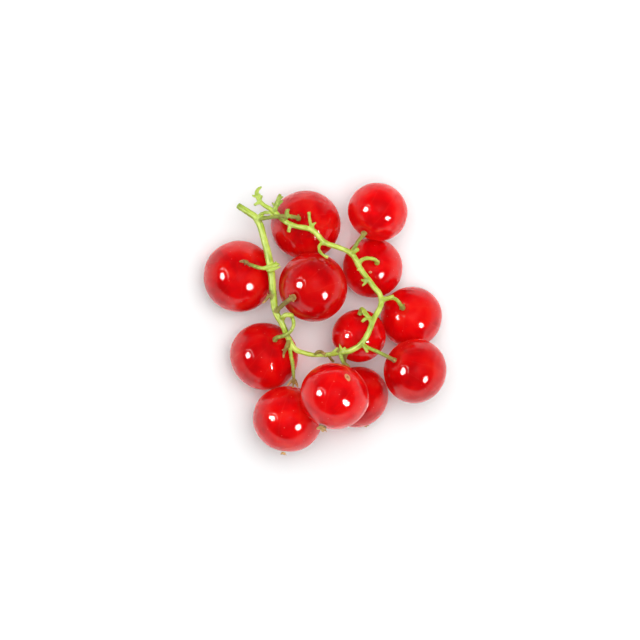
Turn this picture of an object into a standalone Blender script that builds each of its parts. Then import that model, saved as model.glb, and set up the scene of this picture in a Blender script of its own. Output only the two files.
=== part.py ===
"""A sprig of redcurrants lying on a table: the green stem, its berries, and the dry flower on each berry's tip.

Blender 4.5, metres, +Z up. The origin is on the table, under the middle of the sprig. All sizes below are in
millimetres. X runs to the right and Y away from someone who looks down on the sprig with its cut end top left.
"""

import math
from typing import NamedTuple

import bmesh
import bpy
from mathutils import Vector

MM = 0.001

# Driving dimensions, in millimetres.
FLATNESS = 0.94  # a berry's polar radius over its equatorial radius
TABLE_PRESS = 0.15  # how far the weight of a berry flattens its underside
TOUCH_GAP = 0.1  # air left between pieces that touch
FLOWER_LENGTH = 0.55
FLOWER_BASE_RADIUS = 0.55
FLOWER_TIP_RADIUS = 0.72
FLOWER_NOTCH = 0.74  # radius between two sepals over the radius at a sepal
SEPALS = 5
STALK_RADIUS = 0.25
STALK_END_RADIUS = 0.42  # the flared end that holds the berry
LIFT_STEP = 0.02

# How finely the solids are faceted.
BERRY_SEGMENTS = 18
BERRY_RINGS = 11
STEM_SIDES = 8
STALK_SIDES = 6
STEM_POINT_STEPS = 3
STALK_POINT_STEPS = 2


class Berry(NamedTuple):
    """A berry's place on the table, its size, and the ways its stalk end and its dry flower look."""

    place: str
    x: float
    y: float
    radius: float
    stalk_end: tuple
    flower_end: tuple


# In the order in which they settle: those on the table first, then those that lean on others.
BERRIES = [
    Berry("left", -12.9, 6.5, 5.45, (0.22, 0.39, 0.89), (-0.36, -0.60, -0.71)),
    Berry("top_left", -2.9, 14.25, 5.3, (-0.28, 0.20, 0.94), (0.50, -0.48, -0.72)),
    Berry("upper_right", 7.15, 7.8, 4.55, (0.18, 0.25, 0.95), (-0.40, -0.58, -0.71)),
    Berry("right", 13.0, 0.4, 4.7, (-0.33, 0.37, 0.87), (0.52, -0.46, -0.72)),
    Berry("lower_left", -9.15, -5.5, 5.2, (0.37, 0.55, 0.75), (-0.42, -0.58, -0.70)),
    Berry("under", 4.75, -11.65, 4.85, (-0.33, 0.92, 0.20), (0.29, -0.88, -0.37)),
    Berry("top_right", 7.9, 16.2, 4.55, (-0.49, -0.76, 0.43), (0.52, 0.60, -0.61)),
    Berry("inner", 5.1, -2.4, 4.15, (0.05, 0.88, 0.47), (-0.05, -0.70, -0.71)),
    Berry("lower_right", 13.5, -7.7, 4.9, (-0.72, 0.36, 0.59), (0.62, -0.30, -0.72)),
    Berry("centre", -1.8, 4.9, 5.25, (-0.62, -0.34, 0.70), (0.60, 0.20, -0.77)),
    Berry("bottom", -5.6, -14.9, 5.3, (0.17, 0.97, 0.17), (-0.13, -0.99, 0.04)),
    Berry("front", 1.4, -11.4, 5.2, (0.36, 0.85, -0.38), (-0.34, -0.90, 0.27)),
]

# The main stem, from its cut end, down the left, along the bottom, up the right and back over the top:
# x, y, z and radius at each point.
MAIN_STEM = [
    (-13.05, 17.1, 8.6, 0.62),
    (-11.5, 16.1, 9.2, 0.62),
    (-10.25, 15.15, 9.5, 0.62),
    (-9.1, 11.9, 9.9, 0.57),
    (-8.2, 8.2, 10.3, 0.58),
    (-7.95, 6.3, 10.4, 0.53),
    (-7.75, 3.5, 10.4, 0.52),
    (-7.35, 1.1, 10.0, 0.50),
    (-6.35, -0.8, 9.3, 0.46),
    (-5.4, -3.0, 8.75, 0.44),
    (-4.45, -4.4, 8.7, 0.42),
    (-3.3, -4.95, 8.8, 0.36),
    (-0.5, -5.3, 9.5, 0.35),
    (2.1, -4.95, 10.6, 0.39),
    (4.0, -4.55, 11.7, 0.42),
    (5.25, -3.75, 12.35, 0.42),
    (6.2, -2.5, 12.5, 0.42),
    (7.05, -0.4, 12.2, 0.42),
    (8.4, 3.1, 11.3, 0.42),
    (7.1, 5.15, 10.7, 0.41),
    (5.25, 7.7, 10.5, 0.42),
    (3.95, 9.85, 10.6, 0.42),
    (2.0, 10.8, 10.7, 0.38),
    (0.1, 11.5, 10.9, 0.40),
    (-2.0, 13.4, 11.75, 0.40),
    (-4.6, 14.05, 11.4, 0.36),
    (-6.1, 14.8, 10.6, 0.38),
    (-7.6, 16.15, 10.0, 0.38),
    (-9.75, 17.75, 9.9, 0.32),
    (-10.2, 18.7, 9.9, 0.34),
    (-10.15, 19.3, 9.9, 0.28),
    (-9.5, 19.95, 9.9, 0.14),
]

# Each berry's stalk, from its root in the main stem towards the berry. The flared end is added at the berry.
STALKS = {
    "left": [(-8.3, 7.9, 10.3), (-9.3, 7.7, 10.6), (-10.4, 7.95, 10.85)],
    "top_left": [(-10.2, 15.1, 9.6), (-8.6, 15.25, 10.4), (-7.0, 15.45, 10.95), (-5.9, 15.5, 11.45)],
    "upper_right": [(5.0, 8.5, 10.5), (5.85, 9.1, 10.9), (6.9, 9.15, 10.5)],
    "right": [(8.4, 3.1, 11.3), (9.6, 3.45, 11.5), (10.6, 3.15, 10.6)],
    "lower_left": [
        (-6.55, -0.2, 9.5),
        (-5.8, 0.65, 10.1),
        (-5.05, 0.45, 10.6),
        (-4.7, -0.5, 10.5),
        (-5.0, -1.5, 10.2),
        (-5.9, -2.3, 9.85),
    ],
    "under": [(3.2, -4.8, 11.2), (3.0, -5.65, 9.8), (2.9, -6.5, 7.4)],
    "top_right": [(3.95, 9.85, 10.6), (4.35, 10.7, 10.4), (4.95, 11.7, 10.3)],
    "inner": [(7.0, -0.4, 12.2), (6.3, 0.7, 12.3), (5.7, 1.5, 11.4)],
    "lower_right": [(5.3, -3.7, 12.3), (6.6, -4.25, 12.2), (8.3, -5.0, 12.5)],
    "centre": [(-7.35, 1.2, 10.0), (-6.8, 1.75, 10.8), (-6.0, 2.45, 12.6)],
    "bottom": [(-5.35, -3.1, 8.8), (-5.2, -4.8, 8.7), (-4.85, -6.7, 8.6), (-4.7, -8.5, 8.6)],
    "front": [(2.3, -4.9, 10.7), (2.45, -5.75, 10.9), (2.75, -6.4, 11.3)],
}

# Stalks whose berries have dropped, small leafy scales at the joints, and the twigs of the thin end:
# a root in the main stem, the points after it, and the radius at each.
STUBS = [
    [(-2.0, 13.5, 11.75, 0.30), (-2.2, 14.5, 12.2, 0.24), (-2.35, 15.4, 12.4, 0.22), (-2.4, 16.1, 12.5, 0.30)],
    [(-1.9, 13.6, 11.8, 0.28), (-1.75, 14.2, 12.2, 0.22), (-1.35, 14.5, 12.3, 0.08)],
    [(-5.2, 14.25, 11.2, 0.30), (-5.35, 13.7, 11.2, 0.26), (-5.45, 13.15, 11.0, 0.30)],
    [(-7.55, 16.1, 10.0, 0.34), (-7.2, 17.4, 10.4, 0.32), (-6.8, 18.6, 10.6, 0.26)],
    [(-7.1, 17.3, 10.5, 0.24), (-6.65, 17.8, 10.7, 0.26), (-6.45, 18.05, 10.8, 0.18)],
    [(0.1, 11.5, 10.9, 0.30), (-0.7, 11.25, 11.3, 0.22), (-0.9, 10.55, 12.1, 0.20),
     (-0.45, 9.8, 12.9, 0.20), (0.45, 9.3, 13.1, 0.26)],
    [(3.95, 9.85, 10.6, 0.34), (4.5, 10.25, 11.2, 0.30), (4.95, 10.55, 11.5, 0.30)],
    [(5.35, 7.6, 10.6, 0.22), (4.75, 7.4, 10.9, 0.07)],
    [(6.3, 6.2, 10.8, 0.26), (5.75, 5.85, 10.9, 0.20), (5.45, 6.05, 11.0, 0.07)],
    [(6.4, 6.05, 10.8, 0.24), (5.9, 5.35, 10.9, 0.20), (5.55, 5.05, 10.9, 0.08)],
    [(6.5, 0.35, 12.3, 0.25), (5.85, 0.0, 12.5, 0.26), (5.5, -0.35, 12.4, 0.22)],
    [(5.5, -3.6, 12.4, 0.30), (6.05, -4.35, 12.8, 0.24), (6.3, -4.9, 12.8, 0.20)],
    [(2.5, -4.85, 10.8, 0.30), (2.35, -4.3, 11.3, 0.20), (2.15, -3.75, 11.5, 0.06)],
    [(0.5, -5.2, 9.9, 0.24), (0.85, -5.85, 9.4, 0.20), (1.3, -6.3, 8.9, 0.24)],
    [(-1.3, -5.25, 9.3, 0.22), (-1.1, -4.85, 9.6, 0.14), (-0.7, -4.75, 9.8, 0.06)],
    [(-7.95, 8.1, 10.4, 0.40), (-7.3, 8.35, 10.9, 0.24), (-6.75, 8.25, 11.0, 0.06)],
    [(-7.8, 3.4, 10.4, 0.28), (-8.7, 3.05, 10.6, 0.17), (-9.15, 2.6, 10.7, 0.07)],
    [(-5.4, -3.2, 8.8, 0.34), (-5.85, -4.5, 9.2, 0.24), (-6.1, -5.6, 9.3, 0.08)],
    [(-10.1, 15.2, 9.7, 0.34), (-9.3, 15.95, 10.2, 0.20), (-8.5, 15.85, 10.5, 0.08)],
    [(-9.6, 17.6, 9.9, 0.28), (-10.2, 17.4, 10.0, 0.24), (-10.6, 17.15, 10.1, 0.20)],
    [(-10.15, 18.6, 9.9, 0.26), (-9.7, 18.7, 10.1, 0.20)],
]

BERRY_RED = (0.62, 0.005, 0.012, 1.0)
STEM_GREEN = (0.36, 0.55, 0.09, 1.0)
FLOWER_BROWN = (0.24, 0.12, 0.04, 1.0)


def clear_scene():
    for thing in list(bpy.data.objects):
        bpy.data.objects.remove(thing)


def principled(name, colour, roughness):
    material = bpy.data.materials.new(name)
    material.use_nodes = True
    shader = material.node_tree.nodes["Principled BSDF"]
    shader.inputs["Base Color"].default_value = colour
    shader.inputs["Roughness"].default_value = roughness
    shader.inputs["Metallic"].default_value = 0.0
    return material


def add_object(name, mesh, material, centre, axis):
    """Places a mesh that was made round its own +Z, so that +Z looks along axis."""
    mesh.materials.append(material)
    made = bpy.data.objects.new(name, mesh)
    bpy.context.scene.collection.objects.link(made)
    made.location = centre * MM
    made.rotation_mode = "QUATERNION"
    made.rotation_quaternion = axis.to_track_quat("Z", "Y")
    return made


# ---- berries -------------------------------------------------------------------------------------------------


def stalk_axis(berry):
    return Vector(berry.stalk_end).normalized()


def reach_towards(berry, direction):
    """The berry's radius along a unit direction."""
    along = direction.dot(stalk_axis(berry))
    across_squared = 1.0 - along * along
    polar = berry.radius * FLATNESS
    return 1.0 / math.sqrt(across_squared / berry.radius**2 + along * along / polar**2)


def half_height(berry):
    """From the berry's centre down to its lowest point."""
    tilt = stalk_axis(berry).z
    polar = berry.radius * FLATNESS
    return math.sqrt((berry.radius**2) * (1.0 - tilt * tilt) + (polar * tilt) ** 2)


def too_close(berry, centre, other, other_centre):
    apart = centre - other_centre
    line = apart.normalized()
    return apart.length < reach_towards(berry, -line) + reach_towards(other, line) + TOUCH_GAP


def settle_all():
    """Lays the berries down in order. Each comes to lie on the table, or on the ones that are already down."""
    centres = {}
    for berry in BERRIES:
        centre = Vector((berry.x, berry.y, half_height(berry) - TABLE_PRESS))
        while any(too_close(berry, centre, other, centres[other.place]) for other in BERRIES if other.place in centres):
            centre.z += LIFT_STEP
        centres[berry.place] = centre
    return centres


def flatten_underside(thing):
    """Cuts a berry off at the table, where its weight presses it flat."""
    mesh = bmesh.new()
    mesh.from_mesh(thing.data)
    to_world = thing.matrix_basis
    to_local = to_world.inverted()
    cut = bmesh.ops.bisect_plane(
        mesh,
        geom=mesh.verts[:] + mesh.edges[:] + mesh.faces[:],
        plane_co=to_local @ Vector((0, 0, 0)),
        plane_no=to_local.to_3x3() @ Vector((0, 0, -1)),
        clear_outer=True,
    )
    rim = [piece for piece in cut["geom_cut"] if isinstance(piece, bmesh.types.BMEdge)]
    if rim:
        bmesh.ops.contextual_create(mesh, geom=rim)
        bmesh.ops.recalc_face_normals(mesh, faces=mesh.faces[:])
    mesh.to_mesh(thing.data)
    mesh.free()


def add_berry(berry, centre, material):
    mesh = bpy.data.meshes.new("berry_" + berry.place)
    shape = bmesh.new()
    bmesh.ops.create_uvsphere(shape, u_segments=BERRY_SEGMENTS, v_segments=BERRY_RINGS, radius=berry.radius * MM)
    bmesh.ops.scale(shape, vec=(1.0, 1.0, FLATNESS), verts=shape.verts[:])
    shape.to_mesh(mesh)
    shape.free()
    mesh.shade_smooth()
    made = add_object("berry_" + berry.place, mesh, material, centre, stalk_axis(berry))
    flatten_underside(made)
    return made


# ---- dry flowers ---------------------------------------------------------------------------------------------


def flower_ring(shape, radius, height):
    """One ring of the five-pointed flower, widest at each sepal."""
    ring = []
    for step in range(2 * SEPALS):
        turn = math.pi * step / SEPALS
        reach = radius if step % 2 == 0 else radius * FLOWER_NOTCH
        ring.append(shape.verts.new(Vector((reach * math.cos(turn), reach * math.sin(turn), height)) * MM))
    return ring


def add_flower(berry, centre, material):
    """The shrivelled flower that stays on the berry's tip, more or less opposite the stalk."""
    outward = Vector(berry.flower_end).normalized()
    start = reach_towards(berry, outward) + TOUCH_GAP
    mesh = bpy.data.meshes.new("dry_flower_" + berry.place)
    shape = bmesh.new()
    rings = [
        flower_ring(shape, FLOWER_BASE_RADIUS, start),
        flower_ring(shape, FLOWER_BASE_RADIUS * 0.8, start + FLOWER_LENGTH * 0.45),
        flower_ring(shape, FLOWER_TIP_RADIUS, start + FLOWER_LENGTH),
    ]
    for lower, upper in zip(rings, rings[1:]):
        for step in range(len(lower)):
            after = (step + 1) % len(lower)
            shape.faces.new((lower[step], lower[after], upper[after], upper[step]))
    shape.faces.new(list(reversed(rings[0])))
    shape.faces.new(rings[-1])
    shape.to_mesh(mesh)
    shape.free()
    return add_object("dry_flower_" + berry.place, mesh, material, centre, outward)


# ---- stem ----------------------------------------------------------------------------------------------------


def stalk_points(berry, centre):
    """The stalk's own points, then the flared end that meets the berry along its axis."""
    axis = stalk_axis(berry)
    end = centre + axis * (berry.radius * FLATNESS + TOUCH_GAP)
    route = [(*point, STALK_RADIUS) for point in STALKS[berry.place]]
    route[0] = (*STALKS[berry.place][0], STALK_RADIUS * 1.3)
    return route + [(*(end + axis * 0.45), STALK_RADIUS * 1.1), (*end, STALK_END_RADIUS)]


def tube_mesh(name, route, sides, point_steps):
    """A closed tube on a smooth curve through the route's points, each with its own radius."""
    curve = bpy.data.curves.new(name, "CURVE")
    curve.dimensions = "3D"
    curve.bevel_depth = MM
    curve.bevel_resolution = sides // 2 - 2
    curve.use_fill_caps = True
    curve.resolution_u = point_steps
    spline = curve.splines.new("BEZIER")
    spline.bezier_points.add(len(route) - 1)
    for point, (x, y, z, radius) in zip(spline.bezier_points, route):
        point.co = Vector((x, y, z)) * MM
        point.radius = radius
        point.handle_left_type = point.handle_right_type = "AUTO"
    guide = bpy.data.objects.new(name, curve)
    bpy.context.scene.collection.objects.link(guide)
    bpy.context.view_layer.update()
    mesh = bpy.data.meshes.new_from_object(guide.evaluated_get(bpy.context.evaluated_depsgraph_get()))
    bpy.data.objects.remove(guide)
    shape = bmesh.new()
    shape.from_mesh(mesh)
    bmesh.ops.remove_doubles(shape, verts=shape.verts[:], dist=MM * 0.001)
    bmesh.ops.recalc_face_normals(shape, faces=shape.faces[:])
    shape.to_mesh(mesh)
    shape.free()
    return mesh


def add_stem(centres, material):
    """The main stem, with every stalk and stub joined into it: it grew as one piece."""
    mesh = tube_mesh("stem", MAIN_STEM, STEM_SIDES, STEM_POINT_STEPS)
    mesh.materials.append(material)
    stem = bpy.data.objects.new("stem", mesh)
    bpy.context.scene.collection.objects.link(stem)
    branches = bpy.data.collections.new("stem_branches")
    branches.hide_render = True
    bpy.context.scene.collection.children.link(branches)
    routes = [stalk_points(berry, centres[berry.place]) for berry in BERRIES] + STUBS
    for number, route in enumerate(routes):
        name = f"stem_branch_{number}"
        branch = bpy.data.objects.new(name, tube_mesh(name, route, STALK_SIDES, STALK_POINT_STEPS))
        branch.hide_render = True
        branch.display_type = "WIRE"
        branches.objects.link(branch)
    union = stem.modifiers.new("grown_together", "BOOLEAN")
    union.operation = "UNION"
    union.solver = "EXACT"
    union.operand_type = "COLLECTION"
    union.collection = branches
    return stem


def main():
    clear_scene()
    berry_skin = principled("berry_skin", BERRY_RED, 0.12)
    stem_green = principled("green_stem", STEM_GREEN, 0.5)
    dry_brown = principled("dry_flower", FLOWER_BROWN, 0.85)
    centres = settle_all()
    for berry in BERRIES:
        add_berry(berry, centres[berry.place], berry_skin)
        add_flower(berry, centres[berry.place], dry_brown)
    add_stem(centres, stem_green)


main()
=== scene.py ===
import math
import random

import bmesh
import bpy
from mathutils import Matrix, Vector
from mathutils.kdtree import KDTree


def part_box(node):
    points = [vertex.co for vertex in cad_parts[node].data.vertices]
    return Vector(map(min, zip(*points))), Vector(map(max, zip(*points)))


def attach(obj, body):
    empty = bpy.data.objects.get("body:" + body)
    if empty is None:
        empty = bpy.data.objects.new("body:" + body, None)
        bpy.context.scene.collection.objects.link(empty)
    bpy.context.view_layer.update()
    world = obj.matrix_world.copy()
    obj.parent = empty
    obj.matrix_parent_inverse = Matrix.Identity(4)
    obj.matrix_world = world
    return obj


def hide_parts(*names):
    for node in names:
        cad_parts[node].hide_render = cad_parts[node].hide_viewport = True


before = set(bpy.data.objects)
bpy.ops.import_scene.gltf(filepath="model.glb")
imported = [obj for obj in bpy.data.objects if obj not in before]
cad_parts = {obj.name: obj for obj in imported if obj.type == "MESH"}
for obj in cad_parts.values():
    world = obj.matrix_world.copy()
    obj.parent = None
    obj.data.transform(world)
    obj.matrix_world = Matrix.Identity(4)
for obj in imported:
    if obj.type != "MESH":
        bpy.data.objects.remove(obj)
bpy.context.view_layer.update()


# ------------------------------------------------------------------ the table and the studio light
# The sprig lies on a white laminate sheet. Two round lamps with diffusers light it, one from the left and one
# from the lower right, and the camera looks straight down on it from a long arm.

MM = 0.001


def linear(hex_colour):
    """An sRGB hex colour as the linear values that a shader takes."""
    parts = [int(hex_colour[i : i + 2], 16) / 255 for i in (1, 3, 5)]
    return (*[c / 12.92 if c <= 0.04045 else ((c + 0.055) / 1.055) ** 2.4 for c in parts], 1.0)


def new_material(name):
    """A material with an empty node tree but for its Principled shader and its output."""
    material = bpy.data.materials.new(name)
    material.use_nodes = True
    return material, material.node_tree, material.node_tree.nodes["Principled BSDF"]


def add(tree, kind, inputs=(), **settings):
    """Adds one node with its own settings. inputs are pairs of an input and what goes into it: another node's
    output, or a value."""
    node = tree.nodes.new(kind)
    for key, value in settings.items():
        setattr(node, key, value)
    for socket, source in inputs:
        if isinstance(source, bpy.types.NodeSocket):
            tree.links.new(source, node.inputs[socket])
        else:
            node.inputs[socket].default_value = source
    return node


bpy.ops.mesh.primitive_plane_add(size=3.0, location=(0, 0, 0))
table = bpy.context.active_object
table.name = "table"
# Laminate board, as on a worktop: an even, faintly cool white with hardly any shine.
laminate, tree, shader = new_material("white_laminate")
shader.inputs["Base Color"].default_value = linear("#e1e5e5")
shader.inputs["Roughness"].default_value = 0.6
shader.inputs["Specular IOR Level"].default_value = 0.2
table.data.materials.append(laminate)

LAMP_DISTANCE = 0.7
LAMP_WIDTH = math.radians(20)  # how wide a lamp looks from the sprig
LAMP_WATTS = 6.0
LEFT_LAMP = (-0.776, 0.054, 0.627)
LOWER_RIGHT_LAMP = (0.552, -0.46, 0.695)


def add_lamp(name, direction):
    """A round lamp that shines on the sprig from a direction. It shows as a highlight on what is glossy, and
    adds no light to dull surfaces or inside the berries, which the room lights."""
    light = bpy.data.lights.new(name, "AREA")
    light.shape = "DISK"
    light.size = 2 * LAMP_DISTANCE * math.tan(LAMP_WIDTH / 2)
    light.energy = LAMP_WATTS
    lamp = bpy.data.objects.new(name, light)
    bpy.context.scene.collection.objects.link(lamp)
    lamp.location = Vector(direction).normalized() * LAMP_DISTANCE
    lamp.rotation_euler = (-lamp.location).to_track_quat("-Z", "Y").to_euler()
    lamp.visible_diffuse = False
    lamp.visible_transmission = False


add_lamp("lamp_left", LEFT_LAMP)
add_lamp("lamp_lower_right", LOWER_RIGHT_LAMP)

# The room gives a pale light, strongest from overhead and a little stronger from the upper right.
OVERHEAD = Vector((0.10, 0.08, 1.0)).normalized()
OVERHEAD_LIGHT = 9.7
OVERHEAD_FOCUS = 16.0  # the power of the fall-off away from overhead
LIGHT_ALL_ROUND = 0.34
LEAN = (0.14, 0.12, 0.0)

room = bpy.data.worlds.new("pale_room")
room.use_nodes = True
tree = room.node_tree
look = add(tree, "ShaderNodeTexCoord").outputs["Generated"]
lean = add(tree, "ShaderNodeVectorMath", [(0, look), (1, LEAN)], operation="DOT_PRODUCT")
above = add(tree, "ShaderNodeVectorMath", [(0, look), (1, OVERHEAD)], operation="DOT_PRODUCT")
clear = add(tree, "ShaderNodeMath", [(0, above.outputs["Value"]), (1, 0.0)], operation="MAXIMUM")
height = add(tree, "ShaderNodeMath", [(0, clear.outputs[0]), (1, OVERHEAD_FOCUS)], operation="POWER")
overhead = add(
    tree,
    "ShaderNodeMath",
    [(0, height.outputs[0]), (1, OVERHEAD_LIGHT), (2, LIGHT_ALL_ROUND)],
    operation="MULTIPLY_ADD",
)
given = add(tree, "ShaderNodeMath", [(0, overhead.outputs[0]), (1, lean.outputs["Value"])], operation="ADD")

# What the berries mirror of the room is dark overhead, where the camera is, and pale low down, where white
# screens stand, most of all at the front.
SCREEN_TOP = 0.36  # heights of a look, from 0 at the horizon to 1 overhead
SCREEN_BRIGHTEST = 0.20
DARK_CEILING = 0.07

side = add(tree, "ShaderNodeSeparateXYZ", [("Vector", look)])
low_down = add(
    tree,
    "ShaderNodeMapRange",
    [("Value", side.outputs["Z"]), ("From Min", SCREEN_TOP), ("From Max", SCREEN_BRIGHTEST)],
    interpolation_type="SMOOTHSTEP",
)
frontward = add(
    tree,
    "ShaderNodeMapRange",
    [("Value", side.outputs["Y"]), ("From Min", 1.0), ("From Max", -1.0), ("To Min", 0.1), ("To Max", 1.3)],
)
screens = add(
    tree,
    "ShaderNodeMath",
    [(0, low_down.outputs[0]), (1, frontward.outputs[0]), (2, DARK_CEILING)],
    operation="MULTIPLY_ADD",
)

# The left lamp's reflector shows as a thin arc at 20 degrees from it, on the lamp's upper right.
ARC_RADIUS = math.radians(20)
ARC_HALF_WIDTH = 0.009  # in the cosine of the angle from the lamp
ARC_LIGHT = 8.0

towards_lamp = add(
    tree,
    "ShaderNodeVectorMath",
    [(0, look), (1, Vector(LEFT_LAMP).normalized())],
    operation="DOT_PRODUCT",
)
ring = add(
    tree,
    "ShaderNodeMath",
    [(0, towards_lamp.outputs["Value"]), (1, math.cos(ARC_RADIUS)), (2, ARC_HALF_WIDTH)],
    operation="COMPARE",
)
across = add(tree, "ShaderNodeVectorMath", [(0, look), (1, (0.7, 0.7, 0.0))], operation="DOT_PRODUCT")
half = add(
    tree,
    "ShaderNodeMapRange",
    [("Value", across.outputs["Value"]), ("From Min", -0.48), ("From Max", -0.26)],
    interpolation_type="SMOOTHSTEP",
)
arc = add(tree, "ShaderNodeMath", [(0, ring.outputs[0]), (1, half.outputs[0])], operation="MULTIPLY")
mirrored = add(
    tree,
    "ShaderNodeMath",
    [(0, arc.outputs[0]), (1, ARC_LIGHT), (2, screens.outputs[0])],
    operation="MULTIPLY_ADD",
)
path = add(tree, "ShaderNodeLightPath")
strength = add(
    tree,
    "ShaderNodeMix",
    [(0, path.outputs["Is Glossy Ray"]), (2, given.outputs[0]), (3, mirrored.outputs[0])],
    data_type="FLOAT",
)
background = tree.nodes["Background"]
background.inputs["Color"].default_value = linear("#ffffff")
tree.links.new(strength.outputs[0], background.inputs["Strength"])
bpy.context.scene.world = room

CAMERA_OVER = (-0.75 * MM, -0.05 * MM)
FIELD_WIDTH = 96.0 * MM  # what the camera sees from side to side
FIELD_HEIGHT = 8.0 * MM  # how far above the table it sees that much
camera_data = bpy.data.cameras.new("camera")
camera_data.sensor_width = 36.0
camera_data.lens = 400.0
camera_data.clip_end = 10.0
camera = bpy.data.objects.new("camera", camera_data)
bpy.context.scene.collection.objects.link(camera)
camera_height = FIELD_HEIGHT + FIELD_WIDTH * camera_data.lens / camera_data.sensor_width
camera.location = (*CAMERA_OVER, camera_height)
bpy.context.scene.camera = camera
bpy.context.scene.view_settings.view_transform = "Standard"


# ------------------------------------------------------------------------------------- the berries
# A ripe redcurrant is a thin, tight, glossy skin full of clear red jelly round a few seeds. It is a little
# flatter along the line from its stalk to its dry flower, with a dent at both ends, and pale veins run from
# the one to the other. Those that lie on the table are pressed flat there by their weight.

BERRY_PLACES = [name[len("berry_") :] for name in sorted(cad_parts) if name.startswith("berry_")]
FLATNESS = 0.94  # a berry's length from end to end, as a share of its width
STALK_TIP_POINTS = 6  # how many of the CAD stem's nearest points are taken for a stalk's end
STALK_DENT = 0.3 * MM
STALK_DENT_REACH = 1.3 * MM
FLOWER_DENT = 0.15 * MM
FLOWER_DENT_REACH = 1.1 * MM
SWELL_SIZE = 6.0 * MM
SWELL_DEPTH = 0.22 * MM
# How deep each berry's red is, from 0 (light) to 1 (crimson): partly its own ripeness, partly painted shade,
# so that the centre berry, in the shade of the berries round it, is the deepest.
RIPENESS_AND_SHADE = {
    "centre": 1.0,
    "lower_right": 0.85,
    "top_left": 0.7,
    "under": 0.7,
    "lower_left": 0.6,
    "right": 0.25,
    "upper_right": 0.2,
    "left": 0.45,
    "inner": 0.4,
    "bottom": 0.25,
    "front": 0.2,
    "top_right": 0.0,
}


def berry_shape(place):
    """The berry's centre, its radius across, and the direction of its stalk end, read from the frame. The
    centre and the direction depend on each other, so they are worked out in a few rounds."""
    low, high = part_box("berry_" + place)
    stem_points = [v.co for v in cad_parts["stem"].data.vertices]
    centre = (low + high) / 2
    shrink = 1 - FLATNESS**2
    for _ in range(4):
        near = sorted(stem_points, key=lambda point: (point - centre).length)[:STALK_TIP_POINTS]
        axis = (sum(near, Vector()) / len(near) - centre).normalized()
        radius = (high.x - low.x) / 2 / math.sqrt(1 - shrink * axis.x**2)
        centre.z = high.z - radius * math.sqrt(1 - shrink * axis.z**2)
    return centre, radius, axis


def flower_direction(place, centre):
    """The direction from a berry's centre to its dry flower."""
    low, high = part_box("dry_flower_" + place)
    return ((low + high) / 2 - centre).normalized()


def pull_skin(piece, direction, depth, reach):
    """Moves the point of a piece that lies furthest in a direction inwards, and the skin round it with it."""
    edited = bmesh.from_edit_mesh(piece.data)
    bpy.ops.mesh.select_all(action="DESELECT")
    point = max(edited.verts, key=lambda v: v.co.dot(direction))
    point.select = True
    bmesh.update_edit_mesh(piece.data)
    bpy.ops.transform.translate(
        value=direction * -depth,
        use_proportional_edit=True,
        proportional_edit_falloff="SMOOTH",
        proportional_size=reach,
    )


def clouds(name, size):
    """A cloudy texture with lumps of a size, for a surface that grew or dried unevenly."""
    texture = bpy.data.textures.new(name, "CLOUDS")
    texture.noise_scale = size
    return texture


def make_uneven(piece, texture, depth, level=0.5):
    """Pushes the skin of the active piece in and out by a texture, which moves it outwards above a level."""
    push = piece.modifiers.new(texture.name, "DISPLACE")
    push.texture = texture
    push.texture_coords = "LOCAL"
    push.mid_level = level
    push.strength = depth
    bpy.ops.object.modifier_apply(modifier=push.name)


def store_numbers(piece, name, values):
    """Keeps one number for each of the piece's points, for its material to read."""
    attribute = piece.data.attributes.new(name, "FLOAT", "POINT")
    attribute.data.foreach_set("value", values)


swell = clouds("uneven_growth", SWELL_SIZE)


def add_berry(place, material):
    centre, radius, axis = berry_shape(place)
    to_world = Matrix.Translation(centre) @ axis.to_track_quat("Z", "Y").to_matrix().to_4x4()
    flower = to_world.to_3x3().transposed() @ flower_direction(place, centre)
    bpy.ops.object.select_all(action="DESELECT")
    bpy.ops.mesh.primitive_uv_sphere_add(segments=112, ring_count=80, radius=radius)
    berry = bpy.context.active_object
    berry.name = "berry_skin_" + place
    berry.data.name = berry.name
    bpy.ops.object.mode_set(mode="EDIT")
    bpy.ops.transform.resize(value=(1, 1, FLATNESS))
    pull_skin(berry, Vector((0, 0, 1)), STALK_DENT, STALK_DENT_REACH)
    pull_skin(berry, flower, FLOWER_DENT, FLOWER_DENT_REACH)
    bpy.ops.object.mode_set(mode="OBJECT")
    berry.data.transform(to_world)
    make_uneven(berry, swell, SWELL_DEPTH)
    # what would reach below the table is pressed flat onto it
    bpy.ops.object.mode_set(mode="EDIT")
    bpy.ops.mesh.select_all(action="DESELECT")
    edited = bmesh.from_edit_mesh(berry.data)
    for vertex in edited.verts:
        vertex.select = vertex.co.z < 0
    bmesh.update_edit_mesh(berry.data)
    bpy.ops.transform.resize(value=(1, 1, 0), center_override=(0, 0, 0))
    bpy.ops.object.mode_set(mode="OBJECT")
    bpy.ops.object.shade_smooth()
    store_numbers(berry, "ripeness_and_shade", [RIPENESS_AND_SHADE[place]] * len(berry.data.vertices))
    berry.data.materials.append(material)
    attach(berry, "root")
    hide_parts("berry_" + place)


# Clear red jelly under a waxy skin: deep red with a wet shine, mottled where the seeds and the flesh show
# through, and the orange-red of the mottle is painted glow of light passing through the jelly. Light scatters
# inside it, some passes through, and the rim glows red, which the sheen gives.
skin, tree, shader = new_material("redcurrant_skin")
where = add(tree, "ShaderNodeTexCoord")
flesh_and_glow = add(
    tree,
    "ShaderNodeTexNoise",
    [
        ("Vector", where.outputs["Object"]),
        ("Scale", 1 / (3.2 * MM)),
        ("Detail", 3.0),
        ("Roughness", 0.5),
        ("Distortion", 0.4),
    ],
)
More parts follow.
